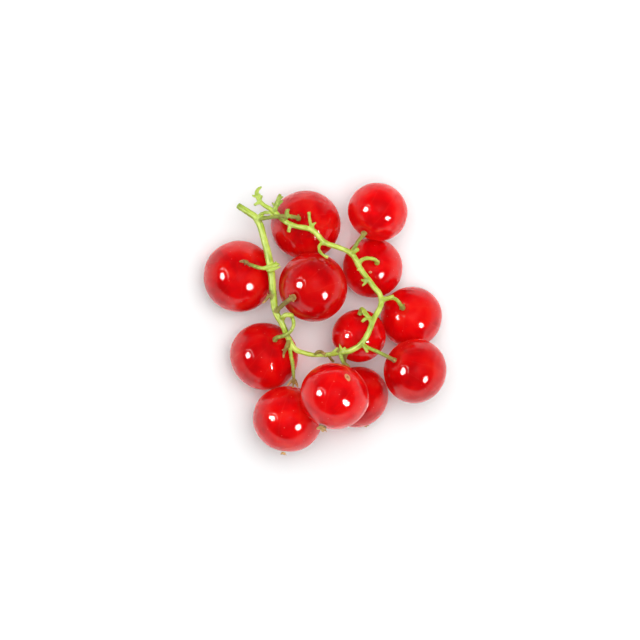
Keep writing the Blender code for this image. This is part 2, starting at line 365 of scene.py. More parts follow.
# The orange-red top of this ramp is painted glow of light through the jelly; the rest is seeds and flesh.
flesh_and_glow_colour = add(tree, "ShaderNodeValToRGB", [("Fac", flesh_and_glow.outputs["Fac"])])
flesh_and_glow_colour.color_ramp.elements[0].position = 0.32
flesh_and_glow_colour.color_ramp.elements[0].color = linear("#d6040e")
flesh_and_glow_colour.color_ramp.elements[1].position = 0.72
flesh_and_glow_colour.color_ramp.elements[1].color = linear("#ff2c1e")
middle = flesh_and_glow_colour.color_ramp.elements.new(0.50)
middle.color = linear("#f4060f")
# Deepens each berry's red by its ripeness and by painted shade, most on the centre berry.
ripeness_and_shade = add(tree, "ShaderNodeAttribute", attribute_name="ripeness_and_shade")
ripe_and_shade_share = add(tree, "ShaderNodeMath", [(0, ripeness_and_shade.outputs["Fac"]), (1, 0.5)], operation="MULTIPLY")
ripe_and_shaded = add(
    tree,
    "ShaderNodeMix",
    [(0, ripe_and_shade_share.outputs[0]), (6, flesh_and_glow_colour.outputs["Color"]), (7, linear("#c8506a"))],
    data_type="RGBA",
    blend_type="MULTIPLY",
)

# Eleven veins run from pole to pole, where the skin's own map has lines of one U. They wander a little, and
# are broken up here and there.
VEINS = 11
VEIN_HALF_WIDTH = 0.10  # as a share of half the distance from one vein to the next
VEIN_WANDER = 0.02  # as a share of the way round the berry
along = add(tree, "ShaderNodeSeparateXYZ", [("Vector", where.outputs["UV"])])
wander = add(
    tree,
    "ShaderNodeTexNoise",
    [("Vector", where.outputs["Object"]), ("Scale", 1 / (2.0 * MM)), ("Detail", 1.0)],
)
shifted = add(
    tree,
    "ShaderNodeMath",
    [(0, wander.outputs["Fac"]), (1, VEIN_WANDER), (2, along.outputs["X"])],
    operation="MULTIPLY_ADD",
)
turns = add(tree, "ShaderNodeMath", [(0, shifted.outputs[0]), (1, 2.0 * VEINS)], operation="MULTIPLY")
to_vein = add(tree, "ShaderNodeMath", [(0, turns.outputs[0]), (1, 1.0)], operation="PINGPONG")
vein = add(
    tree,
    "ShaderNodeMapRange",
    [("Value", to_vein.outputs[0]), ("From Min", VEIN_HALF_WIDTH), ("From Max", 0.0), ("To Max", 0.16)],
    interpolation_type="SMOOTHSTEP",
)
broken = add(tree, "ShaderNodeMath", [(0, vein.outputs[0]), (1, wander.outputs["Fac"])], operation="MULTIPLY")
veined = add(
    tree,
    "ShaderNodeMix",
    [(0, broken.outputs[0]), (6, ripe_and_shaded.outputs[2]), (7, linear("#ff6a58"))],
    data_type="RGBA",
)

# Pinpricks up to 0.2 mm wide, about one to every six square millimetres.
PRICK_SPACING = 1.1 * MM
PRICK_EDGE = 0.10  # as a share of the spacing
PRICK_HEART = 0.05
pricks = add(
    tree, "ShaderNodeTexVoronoi", [("Vector", where.outputs["Object"]), ("Scale", 1 / PRICK_SPACING)]
)
prick = add(
    tree,
    "ShaderNodeMapRange",
    [
        ("Value", pricks.outputs["Distance"]),
        ("From Min", PRICK_EDGE),
        ("From Max", PRICK_HEART),
        ("To Max", 0.5),
    ],
)
pricked = add(
    tree,
    "ShaderNodeMix",
    [(0, prick.outputs[0]), (6, veined.outputs[2]), (7, linear("#ff9080"))],
    data_type="RGBA",
)
tree.links.new(pricked.outputs[2], shader.inputs["Base Color"])

# The skin dimples slightly over the flesh, which breaks up the edges of what it mirrors.
dimples = add(
    tree,
    "ShaderNodeTexNoise",
    [("Vector", where.outputs["Object"]), ("Scale", 1 / (0.9 * MM)), ("Detail", 2.0)],
)
relief = add(
    tree,
    "ShaderNodeBump",
    [("Height", dimples.outputs["Fac"]), ("Strength", 0.25), ("Distance", 0.03 * MM)],
)
tree.links.new(relief.outputs[0], shader.inputs["Normal"])
shader.inputs["Roughness"].default_value = 0.06
shader.inputs["IOR"].default_value = 1.42
shader.inputs["Subsurface Weight"].default_value = 1.0
shader.inputs["Subsurface Radius"].default_value = (1.0, 0.12, 0.1)
shader.inputs["Subsurface Scale"].default_value = 1.6 * MM
shader.inputs["Transmission Weight"].default_value = 0.33
shader.inputs["Sheen Weight"].default_value = 0.35
shader.inputs["Sheen Tint"].default_value = linear("#ff2014")
shader.inputs["Sheen Roughness"].default_value = 0.4

for place in BERRY_PLACES:
    add_berry(place, skin)


# ------------------------------------------------------------------------------------- the scars
# Where a leaf or another berry rubbed a young berry, its skin healed with a thin corky scab, tan with a
# darker middle. There is one on the front berry, above its middle, and a smaller one on the upper right one.

SCAR_THICKNESS = 0.16 * MM
SCAR_SINK = 0.02 * MM  # how deep its middle plane lies under the skin
SCAR_RAGGEDNESS = 0.14 * MM
cork = clouds("cork", 0.3 * MM)


def skin_reach(place, direction):
    """How far the berry's skin is from its centre in a direction."""
    _, radius, axis = berry_shape(place)
    along = direction.dot(axis)
    return radius / math.sqrt(1 - along * along + (along / FLATNESS) ** 2)


def add_scar(place, direction, length, width, turn, material):
    """A scab on a berry's skin, out from the berry's centre in a direction."""
    centre, radius, _ = berry_shape(place)
    outward = Vector(direction).normalized()
    bpy.ops.object.select_all(action="DESELECT")
    bpy.ops.mesh.primitive_uv_sphere_add(segments=40, ring_count=24, radius=length / 2)
    scar = bpy.context.active_object
    scar.name = "scar_" + place
    scar.data.name = scar.name
    bpy.ops.object.mode_set(mode="EDIT")
    bpy.ops.transform.resize(value=(1, width / length, SCAR_THICKNESS / length))
    bpy.ops.object.mode_set(mode="OBJECT")
    from_middle = [vertex.co.xy.length / (length / 2) for vertex in scar.data.vertices]
    for vertex in scar.data.vertices:
        # bends the flat scab down over the round of the berry
        vertex.co.z -= vertex.co.xy.length_squared / (2 * radius)
    on_skin = Matrix.Translation(centre + outward * (skin_reach(place, outward) - SCAR_SINK))
    scar.data.transform(Matrix.Rotation(turn, 4, "Z"))
    scar.data.transform(on_skin @ outward.to_track_quat("Z", "Y").to_matrix().to_4x4())
    make_uneven(scar, cork, SCAR_RAGGEDNESS)
    bpy.ops.object.shade_smooth()
    store_numbers(scar, "from_middle", from_middle)
    scar.data.materials.append(material)
    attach(scar, "root")


# Corky scar tissue: dull tan, darker and browner in the middle.
corky, tree, shader = new_material("corky_scar")
where = add(tree, "ShaderNodeTexCoord")
crumbs = add(
    tree,
    "ShaderNodeTexNoise",
    [("Vector", where.outputs["Object"]), ("Scale", 1 / (0.2 * MM)), ("Detail", 3.0)],
)
rim = add(tree, "ShaderNodeAttribute", attribute_name="from_middle")
blend = add(tree, "ShaderNodeMath", [(0, crumbs.outputs["Fac"]), (1, rim.outputs["Fac"])], operation="ADD")
cork_colour = add(tree, "ShaderNodeValToRGB", [("Fac", blend.outputs[0])])
cork_colour.color_ramp.elements[0].position = 0.55
cork_colour.color_ramp.elements[0].color = linear("#8f5128")
cork_colour.color_ramp.elements[1].position = 1.0
cork_colour.color_ramp.elements[1].color = linear("#c98a56")
tree.links.new(cork_colour.outputs["Color"], shader.inputs["Base Color"])
relief = add(
    tree,
    "ShaderNodeBump",
    [("Height", crumbs.outputs["Fac"]), ("Strength", 0.6), ("Distance", 0.04 * MM)],
)
tree.links.new(relief.outputs[0], shader.inputs["Normal"])
shader.inputs["Roughness"].default_value = 0.75

add_scar("front", (0.38, 0.55, 0.74), 1.25 * MM, 0.85 * MM, 2.5, corky)
add_scar("upper_right", (-0.08, -0.16, 0.98), 0.55 * MM, 0.4 * MM, 0.6, corky)


# --------------------------------------------------------------------------------------- the stem
# All of the green is one growth: the main stem, bent round in a loop, a short stalk with a flared or forked
# end for each berry, the bare stalks of berries that have dropped, and the small scales at the joints. It is
# soft and juicy, and it dries to a tan brown where it was cut and where it holds the berries; near the
# berries that olive and brown is partly painted shade.

# The middle of the main stem, from its cut end, down the left, along the bottom, up the right and back over
# the top: x, y, z and radius, in millimetres.
MAIN_STEM = [
    (-13.05, 17.1, 8.6, 0.44),
    (-11.5, 16.1, 9.2, 0.50),
    (-10.25, 15.15, 9.5, 0.55),
    (-9.1, 11.9, 9.9, 0.53),
    (-8.2, 8.2, 10.3, 0.56),
    (-7.95, 6.3, 10.4, 0.54),
    (-7.75, 3.5, 10.4, 0.55),
    (-7.35, 1.1, 10.0, 0.52),
    (-6.35, -0.8, 9.3, 0.46),
    (-5.4, -3.0, 8.75, 0.44),
    (-4.45, -4.4, 8.7, 0.42),
    (-3.3, -4.95, 8.8, 0.36),
    (-0.5, -5.3, 9.5, 0.35),
    (2.1, -4.95, 10.6, 0.39),
    (4.0, -4.55, 11.7, 0.42),
    (5.25, -3.75, 12.35, 0.42),
    (6.2, -2.5, 12.5, 0.42),
    (7.05, -0.4, 12.2, 0.42),
    (8.4, 3.1, 11.3, 0.42),
    (7.1, 5.15, 10.7, 0.41),
    (5.25, 7.7, 10.5, 0.42),
    (3.95, 9.85, 10.6, 0.42),
    (2.0, 10.8, 10.7, 0.38),
    (0.1, 11.5, 10.9, 0.40),
    (-2.0, 13.4, 11.75, 0.40),
    (-4.6, 14.05, 11.4, 0.36),
    (-6.1, 14.8, 10.6, 0.38),
    (-7.6, 16.15, 10.0, 0.38),
    (-9.75, 17.75, 9.9, 0.32),
    (-10.2, 18.7, 9.9, 0.34),
    (-10.15, 19.3, 9.9, 0.28),
    (-9.5, 19.95, 9.9, 0.14),
]

# Each berry's stalk, from its root in the main stem, in millimetres. The flared end is added at the berry.
STALKS = {
    "left": [(-8.3, 7.9, 10.3), (-9.3, 7.7, 10.6), (-10.4, 7.95, 10.85)],
    "top_left": [(-10.2, 15.1, 9.6), (-8.6, 15.25, 10.4), (-7.0, 15.45, 10.95), (-5.9, 15.5, 11.45)],
    "upper_right": [(5.0, 8.5, 10.5), (5.85, 9.1, 10.9), (6.9, 9.15, 10.5)],
    "right": [(8.4, 3.0, 11.3), (9.6, 3.2, 11.5), (10.4, 3.15, 11.0)],
    "lower_left": [
        (-6.55, -0.2, 9.5),
        (-5.8, 0.65, 10.1),
        (-5.05, 0.45, 10.6),
        (-4.7, -0.5, 10.5),
        (-5.0, -1.5, 10.2),
        (-5.9, -2.3, 9.85),
    ],
    "under": [(3.2, -4.8, 11.2), (3.0, -5.65, 9.8), (2.9, -6.5, 7.4)],
    "top_right": [(3.95, 9.85, 10.6), (4.35, 10.7, 10.4), (4.95, 11.7, 10.3)],
    "inner": [(7.0, -0.4, 12.2), (6.3, 0.7, 12.3), (5.7, 1.5, 11.4)],
    "lower_right": [(5.3, -3.7, 12.3), (6.6, -4.25, 12.2), (8.3, -5.0, 12.5)],
    "centre": [(-7.35, 1.2, 10.0), (-6.8, 1.75, 10.8), (-6.0, 2.45, 12.6)],
    "bottom": [(-5.35, -3.1, 8.8), (-5.2, -4.8, 8.7), (-4.85, -6.7, 8.6), (-4.7, -8.5, 8.6)],
    "front": [(2.3, -4.9, 10.7), (2.45, -5.75, 10.9), (2.75, -6.4, 11.3)],
}

# Bare stalks, scales and the twigs of the thin end: x, y, z and radius at each point, in millimetres.
STUBS = [
    [(-2.0, 13.5, 11.75, 0.30), (-2.2, 14.5, 12.2, 0.24), (-2.35, 15.4, 12.4, 0.22),
     (-2.4, 16.1, 12.5, 0.30)],
    [(-1.9, 13.6, 11.8, 0.28), (-1.75, 14.2, 12.2, 0.22), (-1.35, 14.5, 12.3, 0.08)],
    [(-5.2, 14.25, 11.2, 0.30), (-5.35, 13.7, 11.2, 0.26), (-5.45, 13.15, 11.0, 0.30)],
    [(0.1, 11.5, 10.9, 0.30), (-0.7, 11.25, 11.3, 0.22), (-0.9, 10.55, 12.1, 0.20),
     (-0.45, 9.8, 12.9, 0.20), (0.45, 9.3, 13.1, 0.26)],
    [(3.95, 9.85, 10.6, 0.34), (4.5, 10.25, 11.2, 0.30), (4.95, 10.55, 11.5, 0.30)],
    [(5.35, 7.6, 10.6, 0.22), (4.75, 7.4, 10.9, 0.07)],
    [(6.3, 6.2, 10.8, 0.26), (5.75, 5.85, 10.9, 0.20), (5.45, 6.05, 11.0, 0.07)],
    [(6.4, 6.05, 10.8, 0.24), (5.9, 5.35, 10.9, 0.20), (5.55, 5.05, 10.9, 0.08)],
    [(6.5, 0.35, 12.3, 0.25), (5.85, 0.0, 12.5, 0.26), (5.5, -0.35, 12.4, 0.22)],
    [(5.5, -3.6, 12.4, 0.30), (6.05, -4.35, 12.8, 0.24), (6.3, -4.9, 12.8, 0.20)],
    [(2.5, -4.85, 10.8, 0.30), (2.35, -4.3, 11.3, 0.20), (2.15, -3.75, 11.5, 0.06)],
    [(-7.95, 8.1, 10.4, 0.40), (-7.3, 8.35, 10.9, 0.24), (-6.75, 8.25, 11.0, 0.06)],
    [(-10.1, 15.2, 9.7, 0.34), (-9.3, 15.95, 10.2, 0.20), (-8.5, 15.85, 10.5, 0.08)],
    [(-9.6, 17.6, 9.9, 0.28), (-10.2, 17.4, 10.0, 0.24), (-10.6, 17.15, 10.1, 0.20)],
    [(-10.15, 18.6, 9.9, 0.26), (-9.7, 18.7, 10.1, 0.20)],
]
# Scales that have turned brown, in the same way.
BROWN_SCALES = [
    [(-7.8, 3.6, 10.4, 0.30), (-8.45, 3.45, 10.7, 0.28), (-8.8, 3.0, 10.8, 0.24), (-9.35, 2.45, 10.8, 0.10)],
    [(-8.3, 3.3, 10.6, 0.22), (-8.6, 3.9, 10.8, 0.10)],
    [(-5.4, -3.2, 8.8, 0.34), (-5.7, -4.0, 9.3, 0.36), (-6.1, -4.9, 9.4, 0.22), (-6.25, -5.7, 9.3, 0.10)],
    [(-5.6, -4.0, 9.2, 0.20), (-5.95, -4.4, 9.7, 0.20), (-6.45, -4.6, 9.7, 0.10)],
    [(0.5, -5.2, 9.9, 0.24), (0.85, -5.85, 9.4, 0.18), (1.3, -6.3, 8.9, 0.22)],
    [(-1.5, -5.1, 9.5, 0.20), (-1.1, -4.8, 9.7, 0.22), (-0.5, -4.75, 9.8, 0.20), (-0.1, -4.95, 9.8, 0.10)],
    [(1.9, -4.7, 10.9, 0.22), (2.25, -4.2, 11.3, 0.16), (2.1, -3.6, 11.5, 0.10)],
]
# Rough, dark green scales near the thin end, in the same way.
DARK_SCALES = [
    [(-7.6, 16.0, 10.0, 0.36), (-7.25, 17.2, 10.4, 0.36), (-6.85, 18.3, 10.6, 0.32), (-6.7, 18.8, 10.6, 0.2)],
    [(-7.1, 17.0, 10.5, 0.24), (-6.65, 17.6, 10.8, 0.24), (-6.3, 17.8, 10.8, 0.12)],
    [(-7.0, 17.9, 10.6, 0.22), (-6.5, 18.3, 10.9, 0.20), (-6.2, 18.4, 10.9, 0.10)],
    [(-7.5, 17.0, 10.3, 0.20), (-7.95, 17.5, 10.3, 0.12)],
    [(-6.2, 14.9, 10.7, 0.36), (-5.7, 15.6, 11.5, 0.36), (-5.6, 16.3, 11.6, 0.30), (-5.3, 16.5, 11.6, 0.12)],
    [(-6.9, 15.4, 10.4, 0.36), (-6.3, 15.2, 11.2, 0.34)],
]
# Folded pale scales at the joints.
PALE_SCALES = [
    [(-6.5, 0.1, 10.2, 0.30), (-6.1, 0.6, 10.8, 0.36), (-5.5, 0.72, 11.0, 0.40), (-4.95, 0.6, 11.0, 0.34),
     (-4.8, 0.3, 10.9, 0.2)],
    [(-8.9, 7.7, 10.6, 0.26), (-8.1, 7.9, 10.95, 0.35), (-7.4, 8.15, 11.1, 0.28), (-6.7, 8.3, 11.1, 0.10)],
    [(-7.6, 8.1, 11.0, 0.20), (-7.3, 8.8, 11.0, 0.10)],
    [(-8.7, 7.4, 10.6, 0.22), (-7.9, 7.35, 11.0, 0.26), (-7.2, 7.7, 11.0, 0.20), (-6.6, 7.95, 11.0, 0.10)],
    [(1.1, -5.05, 10.3, 0.30), (1.6, -4.6, 10.8, 0.30), (1.9, -4.2, 11.1, 0.14)],
    [(2.5, -4.8, 11.0, 0.30), (2.9, -4.35, 11.2, 0.20), (3.0, -4.1, 11.3, 0.10)],
    [(-9.6, 15.5, 9.8, 0.24), (-9.0, 16.1, 10.2, 0.20), (-8.3, 16.0, 10.5, 0.18), (-7.9, 15.6, 10.6, 0.12)],
    [(8.4, 2.9, 11.4, 0.36), (9.2, 3.15, 11.7, 0.34), (9.9, 3.4, 11.8, 0.33), (10.3, 3.5, 11.8, 0.26)],
    [(-10.15, 18.8, 9.9, 0.30), (-10.5, 18.5, 10.1, 0.24), (-10.9, 18.6, 10.2, 0.10)],
    [(-9.8, 17.9, 9.9, 0.22), (-9.5, 18.4, 10.1, 0.20), (-9.4, 18.6, 10.1, 0.10)],
    [(6.9, 0.2, 12.5, 0.28), (6.1, 0.6, 12.9, 0.20), (5.6, 1.2, 12.9, 0.14), (5.45, 1.6, 12.9, 0.10)],
]
# How far each berry's stalk has dried at its root and at its flared end, from 0 (green) to 1 (tan). The olive
# and brown towards the berries is partly painted shade, most on the centre stalk.
STALK_DRYNESS_AND_SHADE = {
    "left": (0.05, 1.0),
    "top_left": (0.35, 0.6),
    "upper_right": (0.0, 0.15),
    "right": (0.0, 0.55),
    "lower_left": (0.1, 0.55),
    "under": (0.5, 0.9),
    "top_right": (0.3, 0.65),
    "inner": (0.0, 0.3),
    "lower_right": (0.1, 0.9),
    "centre": (0.5, 0.95),
    "bottom": (0.1, 1.0),
    "front": (0.2, 0.7),
}
FORKED = ("left", "bottom")  # stalks whose end spreads in two long scales

# The make of the stalks and scales, in millimetres too where it is a length.
STALK_RADIUS = 0.28
STOUT_STALKS = {"centre": 1.2}  # stalks thicker than the rest, by how much
ROOT_SWELL = 1.4  # how much thicker than its middle a stalk is where it leaves the main stem
FLARE_SWELL = 1.1
END_SWELL = 1.6
FORK_NECK = 0.14  # the radius of a forked stalk's end, between its prongs
STALK_GAP = 0.1  # between a stalk's end and the round of its berry
STALK_SINK = 0.12  # how far the end reaches on from there, into the dent
STALK_FLARE = 0.45  # how far before its end a stalk starts to widen
JOINT_RADIUS = 0.44
SCALY_FROM = 0.4  # a stalk end that is drier than this has two small scales
# The radius of such a scale, how far it stands off its stalk, and how far it hangs down over the berry.
SMALL_SCALE = (0.14, 0.6, 0.1)
FORK_PRONG = (0.23, 0.75, 0.4)
SCALE_TIP = 0.12
SCALE_BEND = 0.04
THINNEST = 0.10  # a finer tip than this would be lost when the twigs are grown together
STEM_GRAIN = 0.075 * MM
SPOTS = 8  # how many parts each step of a route is divided in, to note what the stem is like there

twigs = []
# Places along the stem: the place, how dry it is there (with painted shade on the stalks), which way the stem
# runs, and how far along it is.
stem_spots = []


def add_twig(route, dryness_and_shade):
    """A closed tube on a smooth curve through the route's points. The last argument is how dry it is at each
    point, with painted shade on the stalks.
    """
    bpy.ops.object.select_all(action="DESELECT")
    bpy.ops.curve.primitive_bezier_curve_add(location=(0, 0, 0))
    twig = bpy.context.active_object
    twig.data.dimensions = "3D"
    twig.data.bevel_depth = MM
    twig.data.bevel_resolution = 4
    twig.data.use_fill_caps = True
    twig.data.resolution_u = 8
    spline = twig.data.splines[0]
    spline.bezier_points.add(len(route) - len(spline.bezier_points))
    for point, (x, y, z, radius) in zip(spline.bezier_points, route):
        point.co = Vector((x, y, z)) * MM
        point.radius = max(radius, THINNEST)
        point.handle_left_type = "AUTO"
        point.handle_right_type = "AUTO"
    twigs.append(twig)
    so_far = 0.0
    for step in range(len(route) - 1):
        start = Vector(route[step][:3]) * MM
        end = Vector(route[step + 1][:3]) * MM
        for part in range(SPOTS + 1):
            share = part / SPOTS
            dry = dryness_and_shade[step] * (1 - share) + dryness_and_shade[step + 1] * share
            reached = so_far + (end - start).length * share
            stem_spots.append((start.lerp(end, share), dry, (end - start).normalized(), reached))
        so_far += (end - start).length


def add_knuckle(place, radius):
    """The swelling at a joint."""
    bpy.ops.object.select_all(action="DESELECT")
    bpy.ops.mesh.primitive_ico_sphere_add(subdivisions=3, radius=radius * MM, location=Vector(place) * MM)
    twigs.append(bpy.context.active_object)


# the main stem has dried a little at its cut end and at its thin end
add_twig(MAIN_STEM, [0.3] + [0.0] * (len(MAIN_STEM) - 2) + [0.2])

scales = random.Random(11)
for place in BERRY_PLACES:
    centre, radius, axis = berry_shape(place)
    end = (centre / MM) + axis * (radius * FLATNESS / MM + STALK_GAP)
    sunk = end - axis * STALK_SINK
    flare = end + axis * STALK_FLARE
    thick = STALK_RADIUS * STOUT_STALKS.get(place, 1.0)
    route = [(*point, thick) for point in STALKS[place]]
    route[0] = (*STALKS[place][0], thick * ROOT_SWELL)
    if place in FORKED:
        route += [(*flare, FORK_NECK), (*sunk, FORK_NECK)]
    else:
        route += [(*flare, thick * FLARE_SWELL), (*sunk, thick * END_SWELL)]
    at_root, at_end = STALK_DRYNESS_AND_SHADE[place]
    dryness_and_shade = [at_root + (at_end - at_root) * (step / (len(route) - 1)) ** 2 for step in range(len(route))]
    add_twig(route, dryness_and_shade)
    add_knuckle(STALKS[place][0], JOINT_RADIUS)
    # two scales stand off a dried end, on opposite sides
    turn = scales.uniform(0, math.pi)
    if place in FORKED:
        side = axis.cross(Vector((0, 0, 1))).normalized()
        width, spread, drop = FORK_PRONG
    else:
        side = axis.orthogonal().normalized()
        side.rotate(Matrix.Rotation(turn, 3, axis))
        width, spread, drop = SMALL_SCALE
    for way in (side, -side):
        spread *= scales.uniform(0.85, 1.15)
        if at_end > SCALY_FROM:
            root = flare + axis * (0.1 + 1.6 * drop)
            tip = flare + way * spread - axis * drop
            bend = (root + tip) / 2 + way * SCALE_BEND
            dry = [at_end * share for share in (0.7, 0.9, 1.0)]
            add_twig([(*root, width * 1.15), (*bend, width), (*tip, SCALE_TIP)], dry)

# bare stalks and scales: their points, how dry each is at its root, and how much drier at its tip
for growths, at_root, more in (
    (STUBS + PALE_SCALES, 0.0, 0.15),
    (DARK_SCALES, 0.22, 0.12),
    (BROWN_SCALES, 0.45, 0.5),
):
    for growth in growths:
        last = len(growth) - 1
        add_twig(growth, [at_root + more * step / last for step in range(last + 1)])

bpy.ops.object.select_all(action="DESELECT")
for twig in twigs:
    twig.select_set(True)
bpy.context.view_layer.objects.active = twigs[0]
bpy.ops.object.convert(target="MESH")
bpy.ops.object.join()
stem = bpy.context.active_object
bpy.ops.object.transform_apply(location=True, rotation=True, scale=True)
stem.name = "green_stem"
stem.data.name = stem.name

grown = stem.modifiers.new("grown_together", "REMESH")
grown.mode = "VOXEL"
grown.voxel_size = STEM_GRAIN
bpy.ops.object.modifier_apply(modifier=grown.name)
soft = stem.modifiers.new("soft_joints", "SMOOTH")
soft.factor = 0.5
soft.iterations = 3
bpy.ops.object.modifier_apply(modifier=soft.name)
make_uneven(stem, clouds("stem_knots", 0.9 * MM), 0.12 * MM, level=0.45)
make_uneven(stem, clouds("stem_warts", 0.3 * MM), 0.08 * MM)
bpy.ops.object.shade_smooth()

# Each point of the stem's skin takes from the spots next to it how dry it is, with the stalks' painted shade,
# and from the nearest one where it lies round the stem (flank and crown) and along it, so that the fibres can
# follow the stem.
spot_finder = KDTree(len(stem_spots))
for number, spot in enumerate(stem_spots):
    spot_finder.insert(spot[0], number)
spot_finder.balance()
dryness_and_shade, flank, crown, along = [], [], [], []
for vertex in stem.data.vertices:
    near = [stem_spots[number] for _, number, _ in spot_finder.find_n(vertex.co, 3)]
    dryness_and_shade.append(sum(spot[1] for spot in near) / len(near))
    middle, _, way, reached = near[0]
    out = vertex.co - middle
    along.append((reached + out.dot(way)) / MM)
    out = (out - way * out.dot(way)).normalized()
    across = way.cross(Vector((0.1, 0.1, 1))).normalized()
    flank.append(out.dot(across))
    crown.append(out.dot(across.cross(way)))
store_numbers(stem, "dryness_and_shade", dryness_and_shade)
store_numbers(stem, "flank", flank)
store_numbers(stem, "crown", crown)
store_numbers(stem, "along", along)

# Fresh currant stalk: a soft yellow-green with a low waxy shine. Fibres run along it in paler and darker
# green, and it goes olive, brown and then a papery tan where it dries; near the berries that olive and brown
# is partly painted shade.
FIBRES_ROUND = 2.2  # how finely the fibres lie side by side
FIBRES_ALONG = 0.35  # how fast they change along the stem, for each millimetre
FIBRE_SHARE = 0.55  # of the mottling, the rest is blotches
green, tree, shader = new_material("currant_stalk")
where = add(tree, "ShaderNodeTexCoord")
blotches = add(
    tree,
    "ShaderNodeTexNoise",
    [("Vector", where.outputs["Object"]), ("Scale", 1 / (1.6 * MM)), ("Detail", 3.0)],
)
fibre_run = add(tree, "ShaderNodeCombineXYZ")
for socket, name, spread in (
    ("X", "flank", FIBRES_ROUND),
    ("Y", "crown", FIBRES_ROUND),
    ("Z", "along", FIBRES_ALONG),
):
    number = add(tree, "ShaderNodeAttribute", attribute_name=name)
    spread_out = add(tree, "ShaderNodeMath", [(0, number.outputs["Fac"]), (1, spread)], operation="MULTIPLY")
    tree.links.new(spread_out.outputs[0], fibre_run.inputs[socket])
fibres = add(
    tree, "ShaderNodeTexNoise", [("Vector", fibre_run.outputs[0]), ("Scale", 1.0), ("Detail", 2.0)]
)
streaks = add(
    tree,
    "ShaderNodeMix",
    [(0, FIBRE_SHARE), (2, blotches.outputs["Fac"]), (3, fibres.outputs["Fac"])],
    data_type="FLOAT",
)
sap = add(tree, "ShaderNodeValToRGB", [("Fac", streaks.outputs[0])])
sap.color_ramp.elements[0].position = 0.33
sap.color_ramp.elements[0].color = linear("#7c8c14")
sap.color_ramp.elements[1].position = 0.64
sap.color_ramp.elements[1].color = linear("#cfdc6c")
fresh = sap.color_ramp.elements.new(0.48)
fresh.color = linear("#a7bf38")

# The attribute says how dry the stalk is, with painted shade on the stalks near the berries, and a fine grain
# makes the edges of the dry parts patchy.
DRYNESS_SHARE = 0.8
GRAIN_SHARE = 0.4
dry_and_shade_share = add(tree, "ShaderNodeAttribute", attribute_name="dryness_and_shade")
grain = add(
    tree,
    "ShaderNodeTexNoise",
    [("Vector", where.outputs["Object"]), ("Scale", 1 / (0.35 * MM)), ("Detail", 2.0)],
)
weighted_dry_and_shade = add(
    tree, "ShaderNodeMath", [(0, dry_and_shade_share.outputs["Fac"]), (1, DRYNESS_SHARE)], operation="MULTIPLY"
)
patchy = add(
    tree,
    "ShaderNodeMath",
    [(0, grain.outputs["Fac"]), (1, GRAIN_SHARE), (2, weighted_dry_and_shade.outputs[0])],
    operation="MULTIPLY_ADD",
)
dry_and_shade_amount = add(
    tree,
    "ShaderNodeMapRange",
    [("Value", patchy.outputs[0]), ("From Min", 0.27), ("From Max", 0.55)],
    interpolation_type="SMOOTHSTEP",
)
dry_colour = add(tree, "ShaderNodeValToRGB", [("Fac", patchy.outputs[0])])
dry_colour.color_ramp.elements[0].position = 0.42
dry_colour.color_ramp.elements[0].color = linear("#75881f")
dry_colour.color_ramp.elements[1].position = 1.0
dry_colour.color_ramp.elements[1].color = linear("#c29c54")
olive = dry_colour.color_ramp.elements.new(0.66)
olive.color = linear("#8e7f32")
brown = dry_colour.color_ramp.elements.new(0.84)
brown.color = linear("#7d5c22")
coloured = add(
    tree,
    "ShaderNodeMix",
    [(0, dry_and_shade_amount.outputs[0]), (6, sap.outputs["Color"]), (7, dry_colour.outputs["Color"])],
    data_type="RGBA",
)
tree.links.new(coloured.outputs[2], shader.inputs["Base Color"])
dull = add(
    tree,
    "ShaderNodeMapRange",
    [("Value", dry_and_shade_amount.outputs[0]), ("To Min", 0.42), ("To Max", 0.8)],
)
tree.links.new(dull.outputs[0], shader.inputs["Roughness"])
relief = add(
    tree,
    "ShaderNodeBump",
    [("Height", grain.outputs["Fac"]), ("Strength", 0.9), ("Distance", 0.08 * MM)],
)
tree.links.new(relief.outputs[0], shader.inputs["Normal"])
shader.inputs["IOR"].default_value = 1.45
shader.inputs["Subsurface Weight"].default_value = 0.25
shader.inputs["Subsurface Radius"].default_value = (0.8, 1.0, 0.3)
shader.inputs["Subsurface Scale"].default_value = 0.2 * MM
stem.data.materials.append(green)
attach(stem, "root")
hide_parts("stem")


# -------------------------------------------------------------------------------- the dry flowers
# The flower that the berry grew from stays on its tip: a shrunken cup with five sepals, dried to brown paper
# and crumpled, with the dark remains of the flower's middle inside. It grows out of the skin.

SEPALS = 5
FLOWER_SKIRT = 0.52 * MM  # radii, from the skin outwards
FLOWER_WAIST = 0.42 * MM
FLOWER_NECK = FLOWER_WAIST * 1.08
FLOWER_MOUTH = 0.74 * MM
FLOWER_LENGTH = 0.62 * MM
FLOWER_NOTCH = 0.24 * MM  # how deep the cup is cut between two sepals
NOTCH_FOLD = 0.22  # how far the cut folds inwards, as a share of the mouth
FLOWER_SEAT = 0.58  # where its CAD node's middle lies, as a share of its length
SEPAL_THICKNESS = 0.07 * MM
CREASE_DEPTH = 0.16 * MM
TABLE_GAP = 0.02 * MM
MIDDLE_WIDTH = 0.9  # the remains inside, as a share of the waist
MIDDLE_FLATNESS = 0.6
MIDDLE_RISE = 0.3  # as a share of the length
SIZES = {"bottom": 0.7, "under": 0.6, "front": 1.2}  # worn flowers are smaller, and one is larger
BLEACHED = {"bottom": 0.6}  # flowers paler than the rest

crumple = clouds("crumpled_paper", 0.28 * MM)


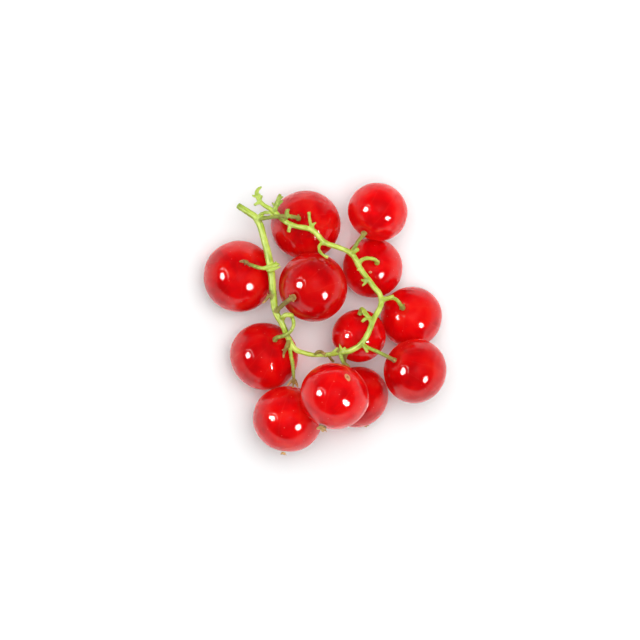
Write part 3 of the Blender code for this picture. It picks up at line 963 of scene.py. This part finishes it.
def add_dry_flower(place, turn, material):
    """A berry's dry flower, turned about its own line so that no two look alike."""
    centre, _, _ = berry_shape(place)
    outward = flower_direction(place, centre)
    low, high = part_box("dry_flower_" + place)
    root = (low + high) / 2 - outward * FLOWER_LENGTH * FLOWER_SEAT
    bpy.ops.object.select_all(action="DESELECT")
    bpy.ops.mesh.primitive_circle_add(vertices=4 * SEPALS, radius=FLOWER_SKIRT, fill_type="NOTHING")
    flower = bpy.context.active_object
    flower.name = "dry_flower_cup_" + place
    flower.data.name = flower.name
    bpy.ops.object.mode_set(mode="EDIT")
    # the cup rises from ring to ring: each one's radius, the one before it, and its share of the length
    for width, before, rise in (
        (FLOWER_WAIST, FLOWER_SKIRT, 0.25),
        (FLOWER_NECK, FLOWER_WAIST, 0.30),
        (FLOWER_MOUTH, FLOWER_NECK, 0.45),
    ):
        bpy.ops.mesh.extrude_edges_move(TRANSFORM_OT_translate={"value": (0, 0, rise * FLOWER_LENGTH)})
        bpy.ops.transform.resize(value=(width / before, width / before, 1))
    edited = bmesh.from_edit_mesh(flower.data)
    for vertex in edited.verts:
        if vertex.select:
            notch = (1 - math.cos(SEPALS * math.atan2(vertex.co.y, vertex.co.x))) / 2
            vertex.co.z -= FLOWER_NOTCH * notch
            vertex.co.xy *= 1 - NOTCH_FOLD * notch
    bmesh.update_edit_mesh(flower.data)
    bpy.ops.mesh.select_all(action="SELECT")
    bpy.ops.mesh.normals_make_consistent(inside=False)
    bpy.ops.object.mode_set(mode="OBJECT")
    bpy.ops.object.select_all(action="DESELECT")
    bpy.ops.mesh.primitive_ico_sphere_add(
        subdivisions=2, radius=FLOWER_WAIST * MIDDLE_WIDTH, location=(0, 0, 0)
    )
    middle = bpy.context.active_object
    bpy.ops.object.mode_set(mode="EDIT")
    bpy.ops.mesh.select_all(action="SELECT")
    bpy.ops.transform.resize(value=(1, 1, MIDDLE_FLATNESS))
    bpy.ops.transform.translate(value=(0, 0, FLOWER_LENGTH * MIDDLE_RISE))
    bpy.ops.object.mode_set(mode="OBJECT")
    bpy.ops.object.select_all(action="DESELECT")
    flower.select_set(True)
    bpy.context.view_layer.objects.active = flower
    wall = flower.modifiers.new("wall", "SOLIDIFY")
    wall.thickness = SEPAL_THICKNESS
    wall.offset = 0.0
    bpy.ops.object.modifier_apply(modifier=wall.name)
    middle.select_set(True)
    bpy.ops.object.join()
    rounded = flower.modifiers.new("rounded", "SUBSURF")
    rounded.levels = 2
    rounded.render_levels = 2
    bpy.ops.object.modifier_apply(modifier=rounded.name)
    heights = [vertex.co.z / FLOWER_LENGTH for vertex in flower.data.vertices]
    flower.data.transform(Matrix.Scale(SIZES.get(place, 1.0), 4))
    flower.data.transform(Matrix.Rotation(turn, 4, "Z"))
    flower.data.transform(Matrix.Translation(root) @ outward.to_track_quat("Z", "Y").to_matrix().to_4x4())
    make_uneven(flower, crumple, CREASE_DEPTH)
    for vertex in flower.data.vertices:
        vertex.co.z = max(vertex.co.z, TABLE_GAP)
    bpy.ops.object.shade_smooth()
    store_numbers(flower, "towards_tip", [height + BLEACHED.get(place, 0.0) for height in heights])
    flower.data.materials.append(material)
    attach(flower, "root")
    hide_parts("dry_flower_" + place)


# Dried sepals, as brown paper: dull, darker in blotches and towards the skin, and bleached to tan along their
# edges.
papery, tree, shader = new_material("dried_sepal")
where = add(tree, "ShaderNodeTexCoord")
fibres = add(
    tree,
    "ShaderNodeTexNoise",
    [("Vector", where.outputs["Object"]), ("Scale", 1 / (0.25 * MM)), ("Detail", 4.0)],
)
tip = add(tree, "ShaderNodeAttribute", attribute_name="towards_tip")
bleach = add(tree, "ShaderNodeMath", [(0, fibres.outputs["Fac"]), (1, tip.outputs["Fac"])], operation="ADD")
bleached = add(
    tree,
    "ShaderNodeMapRange",
    [("Value", bleach.outputs[0]), ("From Min", 0.3), ("From Max", 1.5)],
)
paper = add(tree, "ShaderNodeValToRGB", [("Fac", bleached.outputs[0])])
paper.color_ramp.elements[0].position = 0.22
paper.color_ramp.elements[0].color = linear("#57350f")
paper.color_ramp.elements[1].position = 0.85
paper.color_ramp.elements[1].color = linear("#d2ab66")
tree.links.new(paper.outputs["Color"], shader.inputs["Base Color"])
relief = add(
    tree,
    "ShaderNodeBump",
    [("Height", fibres.outputs["Fac"]), ("Strength", 0.7), ("Distance", 0.05 * MM)],
)
tree.links.new(relief.outputs[0], shader.inputs["Normal"])
shader.inputs["Roughness"].default_value = 0.85

turning = random.Random(5)
for place in BERRY_PLACES:
    add_dry_flower(place, turning.uniform(0, 2 * math.pi), papery)
